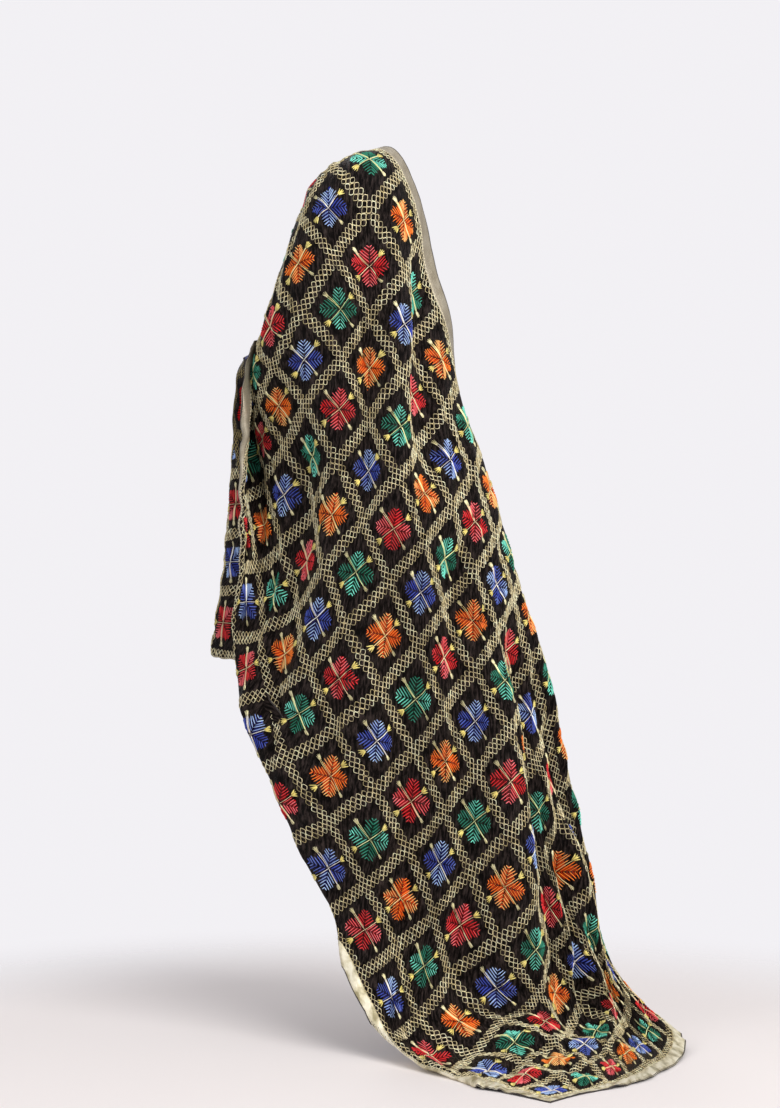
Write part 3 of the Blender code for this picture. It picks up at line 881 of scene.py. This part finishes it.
def build_rings(material):
    """The chain lattice: small looped rings, their threads lying on their neighbours' as in a net."""
    across, along = ring_centres()
    count = len(across)
    turn = np.linspace(0, 2 * math.pi, RING_SIDES, endpoint=False)
    across = across + random.normal(0, RING_MISS, count) / CELL
    along = along + random.normal(0, RING_MISS, count) / CELL
    size = random.uniform(*RING_SIZES, count)[:, None, None]
    squash = random.uniform(-RING_SQUASH, RING_SQUASH, count)[:, None, None]
    corner = 1 + (RING_CORNER - 1) * np.cos(2 * turn) ** 2
    radius = (RING_MIDDLE * corner[:, None] + RING_THREAD / 2 * np.array([1.0, 0.0, -1.0])) * size
    places_c = across[:, None, None] + radius * (1 + squash) * np.cos(turn)[:, None] / CELL
    places_a = along[:, None, None] + radius * (1 - squash) * np.sin(turn)[:, None] / CELL
    heights = FACE + np.array([-RING_SINK, RING_HEIGHT, -RING_SINK])
    index = np.arange(RING_SIDES * 3).reshape(RING_SIDES, 3)
    template = quad_faces(np.pad(index, ((0, 1), (0, 0)), mode="wrap"))
    paleness = random.uniform(*RING_PALENESS, (count, 1, 1))
    # Painted highlight: each ring is painted lighter on one side and darker on the other
    painted_highlight = 1 + RING_PAINTED_HIGHLIGHT * np.sin(turn[None, :] + random.uniform(0, 2 * math.pi, (count, 1)))
    colors = mixed(GOLD, PALE_GOLD, paleness) * painted_highlight[:, :, None]
    stretch = stretch_of(along)
    pieces = []
    for number, name in enumerate(STRETCHES):
        chosen = stretch == number
        points = over_cloth(places_c[chosen], places_a[chosen], heights)
        tint = np.repeat(colors[chosen].reshape(-1, 3), 3, axis=0)
        pieces.append(add_copies("gold_chain_" + name, points, template, material, tint))
    return pieces


# One petal, in metres: its stitches lie beside the cross's arms in nested V shapes, whose points are on
# a vein that runs to the cell's corner. At SHOULDER_ANGLE off the vein it reaches less far, by shoulder.
Petal = namedtuple("Petal", "start step pairs reach shoulder serration")
PETAL = Petal(0.0022, 0.0032, 11, 0.0368, 0.0110, 0.0064)
SHOULDER_ANGLE = math.radians(40)
SHOULDER_CURVE = 1.5
REACH_STEP = 0.0002

# The cross, in metres: its arms' lengths, the widths of a double arm's strands and of a single one, the
# gaps between double strands at their ends, and how far an arm runs on under its bud. Double strands
# are nearer at the flower's middle, and single ones start past it. A bud fans out from its foot.
Cross = namedtuple("Cross", "long_arm short_arm strand single open_gap close_gap overlap")
CROSS = Cross(0.0308, 0.0285, 0.0009, 0.001125, 0.0030, 0.0006, 0.003)
GAP_AT_MIDDLE = 0.15
PAST_MIDDLE = 0.002
Bud = namedtuple("Bud", "length width strand foot")
LONG_BUDS = {-1: Bud(0.0120, 0.0068, 0.0012, 0.0012), 1: Bud(0.0110, 0.0044, 0.0010, 0.0012)}
SHORT_BUD = Bud(0.0130, 0.0118, 0.0016, 0.0016)
BUD_STRANDS = (-1.0, -0.66, -0.33, 0.0, 0.33, 0.66, 1.0)
BUD_ROUND = 0.16
BUD_RAGGED = 0.24
PETAL_WIDTHS = {"light": 0.0018, "dark": 0.0026}
HEIGHTS = {"light": 0.0016, "dark": 0.0005, "cross": 0.0021, "end": 0.0020, "bud": 0.0021}
Stitch = namedtuple("Stitch", "root tip width kind petal", defaults=(0,))


def petal_limit(lean):
    """How far a petal reaches at an angle off its vein."""
    return PETAL.reach - PETAL.shoulder * (abs(lean) / SHOULDER_ANGLE) ** SHOULDER_CURVE


def petal_stitches():
    """Stitches of the four petals of one flower, in metres from its centre."""
    rows = []
    for petal in range(4):
        heading = math.radians(45 + 90 * petal)
        for pair in range(PETAL.pairs):
            root = PETAL.start + pair * PETAL.step
            offset = root * math.sqrt(0.5)
            reach = offset
            while math.hypot(reach, offset) < petal_limit(math.radians(45) - math.atan2(offset, reach)):
                reach += REACH_STEP
            kind = "light" if pair % 2 else "dark"
            if kind == "dark":
                reach -= PETAL.serration
            start = (root * math.cos(heading), root * math.sin(heading))
            length = reach - offset
            for side in (-1, 1):
                angle = heading + side * math.radians(45)
                end = (start[0] + length * math.cos(angle), start[1] + length * math.sin(angle))
                rows.append(Stitch(start, end, PETAL_WIDTHS[kind], kind, petal))
    return rows


def cross_stitches():
    """The cross over the petals, of double strands along the cloth and single ones across it. Its arms
    end in buds of short ragged stitches."""
    rows = []
    for way, gap in ((-1, CROSS.open_gap), (1, CROSS.close_gap)):
        for side in (-1, 1):
            tip = (side * gap / 2, way * (CROSS.long_arm + CROSS.overlap))
            rows.append(Stitch((side * gap * GAP_AT_MIDDLE, 0.0), tip, CROSS.strand, "cross"))
        tip = (way * (CROSS.short_arm + CROSS.overlap), 0.0)
        rows.append(Stitch((-way * PAST_MIDDLE, 0.0), tip, CROSS.single, "cross"))
        for number, strand in enumerate(BUD_STRANDS):
            share = 1 - BUD_ROUND * abs(strand) - BUD_RAGGED * (number % 2)
            bud = LONG_BUDS[way]
            tip = (strand * bud.width / 2, way * (CROSS.long_arm + bud.length * share))
            rows.append(Stitch((strand * bud.foot, way * CROSS.long_arm), tip, bud.strand, "end"))
            bud = SHORT_BUD
            tip = (way * (CROSS.short_arm + bud.length * share), strand * bud.width / 2)
            rows.append(Stitch((way * CROSS.short_arm, strand * bud.foot), tip, bud.strand, "bud"))
    return rows


# A stitch's body: how far along it its three sections are, how wide and how high they are
StitchSection = namedtuple("StitchSection", "place width height")
STITCH_SECTIONS = (StitchSection(0.14, 0.80, 0.90), StitchSection(0.50, 1.00, 1.00),
                   StitchSection(0.86, 0.85, 0.90))
STITCH_POINTS = 11
STITCH_SINK = 0.0002
STITCH_FACES = [(0, 1, 2), (0, 2, 3), (10, 8, 7), (10, 9, 8)]
for a in (1, 2, 4, 5):
    STITCH_FACES += [(a, a + 3, a + 4), (a, a + 4, a + 1)]


def lay_stitches(root, tip, width, height):
    """Tapered threads from root to tip, in cells, with a ridge on top. Their sides run down into the
    silk, so that they need no underside."""
    along_it = tip - root
    left = np.stack((-along_it[:, 1], along_it[:, 0]), -1) / np.linalg.norm(along_it, axis=1, keepdims=True)
    places = np.zeros((len(root), STITCH_POINTS, 2))
    heights = np.full((len(root), STITCH_POINTS), FACE)
    places[:, 0] = root
    places[:, -1] = tip
    for number, section in enumerate(STITCH_SECTIONS):
        middle = root + along_it * section.place
        half = (width * section.width / 2 / CELL)[:, None] * left
        first = 1 + 3 * number
        places[:, first:first + 3] = np.stack((middle + half, middle, middle - half), 1)
        heights[:, first:first + 3] = FACE - STITCH_SINK
        heights[:, first + 1] = FACE + height * section.height
    return over_cloth(places[..., 0], places[..., 1], heights)


def add_stitches(name, rows, height, root, tip, tint, material):
    """Stitches laid over and over in the order of the rows, which give their widths."""
    repeats = len(root) // len(rows)
    width = np.tile([row.width for row in rows], repeats)
    points = lay_stitches(root, tip, width, np.tile(height, repeats))
    tint = np.repeat(tint, STITCH_POINTS, axis=0)
    return add_copies(name, points, np.array(STITCH_FACES), material, tint)


# How much each petal's light stitches catch the light: those that point up and down the drape do most,
# but in some flowers the others do. The floss catches more of it toward the petal's end.
PETAL_GLINTS = (1.0, 0.20, 1.0, 0.20)
GLINT_RANGE = (0.7, 1.2)
TURNED_SHARE = 0.2
GLINT_AT_ROOT = 0.55
GLINT_OUTWARD = 0.65
STITCH_GLINTS = (0.5, 1.4)
DARK_GLINT = 0.08
THREAD_TONES = (0.80, 1.15)
BUD_TONES = (0.62, 1.15)

# How uneven the handwork is: a flower's place, in cells, and its size, a stitch's ends, in metres, and
# how far a petal's stitch reaches
FLOWER_MISS = 0.006
FLOWER_SIZES = (0.96, 1.04)
STITCH_MISS = 0.00030
REACH_MISS = 0.09

# Stitches hardly stretch: how near a flower keeps to its own size where the drape spreads or gathers it
KEPT_SIZE = 0.95
FIRMNESS = 0.65
MOST_EASE = 1.15
EASE_REACH = 0.32
EASE_STEPS = 8


def flower_eases(centres):
    """For each flower, the matrix that undoes most of the drape's stretch of the cloth under it."""
    offsets = np.linspace(-EASE_REACH, EASE_REACH, EASE_STEPS + 1)
    step = CELL * (offsets[1] - offsets[0])
    off_across, off_along = np.meshgrid(offsets, offsets, indexing="ij")
    points = over_cloth(centres[:, 0, None, None] + off_across, centres[:, 1, None, None] + off_along, 0.0)
    by_across = np.diff(points, axis=1)[:, :, :-1] / step
    by_along = np.diff(points, axis=2)[:, :-1] / step
    slopes = np.stack((by_across, by_along), -1)
    metric = np.einsum("nijdu,nijdv->nuv", slopes, slopes) / EASE_STEPS ** 2
    squares, axes = np.linalg.eigh(metric)
    ease = (KEPT_SIZE / np.sqrt(squares)) ** FIRMNESS
    ease = np.clip(ease, 1 / MOST_EASE, MOST_EASE)
    return np.einsum("nuk,nk,nvk->nuv", axes, ease, axes)


def stitch_color(row, floss, glint):
    """A stitch's colour, from its flower's floss and how much each of the petals glints."""
    tone = random.uniform(*(BUD_TONES if row.kind in ("end", "bud") else THREAD_TONES))
    if row.kind == "light":
        outward = GLINT_AT_ROOT + GLINT_OUTWARD * np.hypot(*row.root) / PETAL.reach
        catch = min(glint[row.petal] * outward * random.uniform(*STITCH_GLINTS), 1)
        return tone * mixed(floss.light, floss.glint, catch)
    if row.kind == "dark":
        return tone * mixed(floss.dark, floss.light, DARK_GLINT * glint[row.petal])
    return tone * np.array({"cross": floss.cross, "end": CREAM_GOLD, "bud": BUD_GOLD}[row.kind])


def flower_stitches(cell, ease, rows):
    """One flower's stitches, a little uneven: where each starts and ends, and its colour."""
    across, along = cell
    floss = FLOSSES[(2 + 2 * along - across) % 4]
    centre = np.array(cell) + 0.5 + random.normal(0, FLOWER_MISS, 2)
    glint = np.array(PETAL_GLINTS) * random.uniform(*GLINT_RANGE, 4)
    if random.uniform() < TURNED_SHARE:
        glint = glint[::-1]
    size = random.uniform(*FLOWER_SIZES)
    made = []
    for row in rows:
        root, tip = np.array(row.root), np.array(row.tip)
        if row.kind in PETAL_WIDTHS:
            tip = tip + (tip - root) * random.normal(0, REACH_MISS)
        miss = random.normal(0, STITCH_MISS, 4) / CELL
        start = centre + size * ease @ root / CELL + miss[:2]
        end = centre + size * ease @ tip / CELL + miss[2:]
        made.append((start, end, stitch_color(row, floss, glint)))
    return made


def build_flowers(floss, gold):
    """A flower in every cell: its petals in one piece of each stretch, and its cross in another."""
    kinds = (("floss_flowers_", petal_stitches(), floss, "black_silk"),
             ("flower_crosses_", cross_stitches(), gold, "pale_gold_gota"))
    pieces = []
    for number, name in enumerate(STRETCHES):
        cells = [(c, a) for a in range(FIRST_CELL, LAST_CELL) for c in range(CELLS_ACROSS)
                 if stretch_of(a + 0.5) == number]
        eases = flower_eases(np.array(cells) + 0.5)
        for label, rows, material, slot in kinds:
            made = [stitch for cell, ease in zip(cells, eases)
                    for stitch in flower_stitches(cell, ease, rows)]
            root, tip, tint = map(np.array, zip(*made))
            height = [HEIGHTS[row.kind] for row in rows]
            pieces.append(add_stitches(label + name, rows, height, root, tip, tint, material))
    return pieces


BORDER_SPACING = 0.0050 / CELL
BORDER_LENGTH = 0.0032 / CELL
BORDER_INSET = (GOTA_WIDTH - 0.0020) / CELL
BORDER_THREAD = 0.0009
BORDER_TONES = (0.7, 1.0)
BORDER_HEIGHT = GOTA_LIFT + GOTA_CROWN + 0.0003


def build_border_stitching(material):
    """Running stitches that hold the gota's inner side."""
    ends = []
    for order in (1, -1):
        (low, high), (start, end) = LIMITS[::order]
        starts = np.arange(start + BORDER_INSET, end - (BORDER_INSET + BORDER_LENGTH), BORDER_SPACING)
        for beside in (low + BORDER_INSET, high - BORDER_INSET):
            ends += [((beside, run)[::order], (beside, run + BORDER_LENGTH)[::order]) for run in starts]
    roots, tips = np.transpose(ends, (1, 0, 2))
    tint = np.array(PALE_GOLD) * random.uniform(*BORDER_TONES, (len(roots), 1))
    return add_stitches("gota_stitching", [Stitch(None, None, BORDER_THREAD, "border")], [BORDER_HEIGHT],
                        roots, tips, tint, material)


# ---------------------------------------------------------------- studio

FLOOR_MIDDLE = (0.1, -0.35, FLOOR)
FLOOR_RADIUS = 2.0
FLOOR_FADE = (0.72, 1.45)
FLOOR_COLOR = (0.86, 0.81, 0.80, 1.0)


def build_floor():
    """A pale floor that fades into the background some way off."""
    bpy.ops.mesh.primitive_circle_add(vertices=96, radius=FLOOR_RADIUS, fill_type="NGON",
                                      location=FLOOR_MIDDLE)
    floor = bpy.context.object
    floor.name = "studio_floor"
    nodes = Nodes("pale_floor")
    away = nodes.add("ShaderNodeVectorMath", {0: nodes.place()}, operation="LENGTH").outputs["Value"]
    clear = nodes.spread(away, 0.0, 1.0, *FLOOR_FADE, interpolation_type="SMOOTHSTEP")
    nodes.finish(Base_Color=FLOOR_COLOR, Roughness=0.8)
    shaders = (clear, nodes.shader.outputs[0], nodes.add("ShaderNodeBsdfTransparent").outputs[0])
    fading = nodes.add("ShaderNodeMixShader", enumerate(shaders)).outputs[0]
    nodes.put(fading, nodes.tree.nodes["Material Output"].inputs[0])
    floor.data.materials.append(nodes.material)
    return floor


Lamp = namedtuple("Lamp", "name place aim size power color")
LAMPS = (
    Lamp("key_softbox", (2.2, -3.2, 1.3), (0.1, 0.0, -0.7), 3.0, 158.0, (1.0, 0.985, 0.96)),
    Lamp("fill_softbox", (-3.0, -2.4, 0.4), (0.0, 0.0, -0.7), 2.2, 30.0, (0.97, 0.98, 1.0)),
    Lamp("top_softbox", (0.2, 0.4, 2.4), (0.1, -0.1, -0.7), 2.4, 16.0, (1.0, 1.0, 1.0)),
    Lamp("back_softbox", (-1.2, 3.6, 1.0), (0.1, 0.0, -0.7), 2.2, 26.0, (1.0, 1.0, 1.0)),
)
SURROUND = (0.890, 0.875, 0.905)
SURROUND_LIGHT = 0.48


def build_studio():
    """Soft lamps in a pale surround, which looks brighter than the light it gives."""
    for lamp in LAMPS:
        data = bpy.data.lights.new(lamp.name, "AREA")
        data.shape = "DISK"
        data.size = lamp.size
        data.energy = lamp.power
        data.color = lamp.color
        light = add_object(lamp.name, data)
        light.location = lamp.place
        aim = Vector(lamp.aim) - Vector(lamp.place)
        light.rotation_euler = aim.to_track_quat("-Z", "Y").to_euler()
    world = bpy.data.worlds.new("soft_white")
    world.use_nodes = True
    tree = world.node_tree
    background = tree.nodes["Background"]
    background.inputs["Color"].default_value = (*SURROUND, 1.0)
    seen = tree.nodes.new("ShaderNodeLightPath").outputs["Is Camera Ray"]
    strength = tree.nodes.new("ShaderNodeMapRange")
    strength.inputs["To Min"].default_value = SURROUND_LIGHT
    tree.links.new(seen, strength.inputs["Value"])
    tree.links.new(strength.outputs[0], background.inputs["Strength"])
    bpy.context.scene.world = world
    bpy.context.scene.view_settings.view_transform = "Standard"


CAMERA_PLACE = (0.087, -4.060, -0.671)
SENSOR_WIDTH = 36.0
PICTURE_HEIGHT = 1108
FOCAL_PIXELS = 2384


def build_camera():
    """Level, 0.8 m over the floor, looking straight at the drape."""
    data = bpy.data.cameras.new("camera")
    data.sensor_width = SENSOR_WIDTH
    data.lens = SENSOR_WIDTH * FOCAL_PIXELS / PICTURE_HEIGHT
    camera = add_object("camera", data)
    camera.location = CAMERA_PLACE
    camera.rotation_euler = (math.pi / 2, 0, 0)
    bpy.context.scene.camera = camera


# ---------------------------------------------------------------- all of it

def build_all():
    build_camera()
    build_studio()
    floor = build_floor()
    gold_thread = thread_material("gold_thread", roughness=0.42, metallic=0.18, specular=0.50)
    floss_thread = thread_material("silk_floss", roughness=0.50, metallic=0.0, specular=0.12)
    ground = build_ground()
    sewn = build_gota(gota_ribbon())
    sewn.append(build_piping(piping_material()))
    sewn += build_rings(gold_thread)
    sewn += build_flowers(floss_thread, gold_thread)
    sewn.append(build_border_stitching(gold_thread))


build_all()
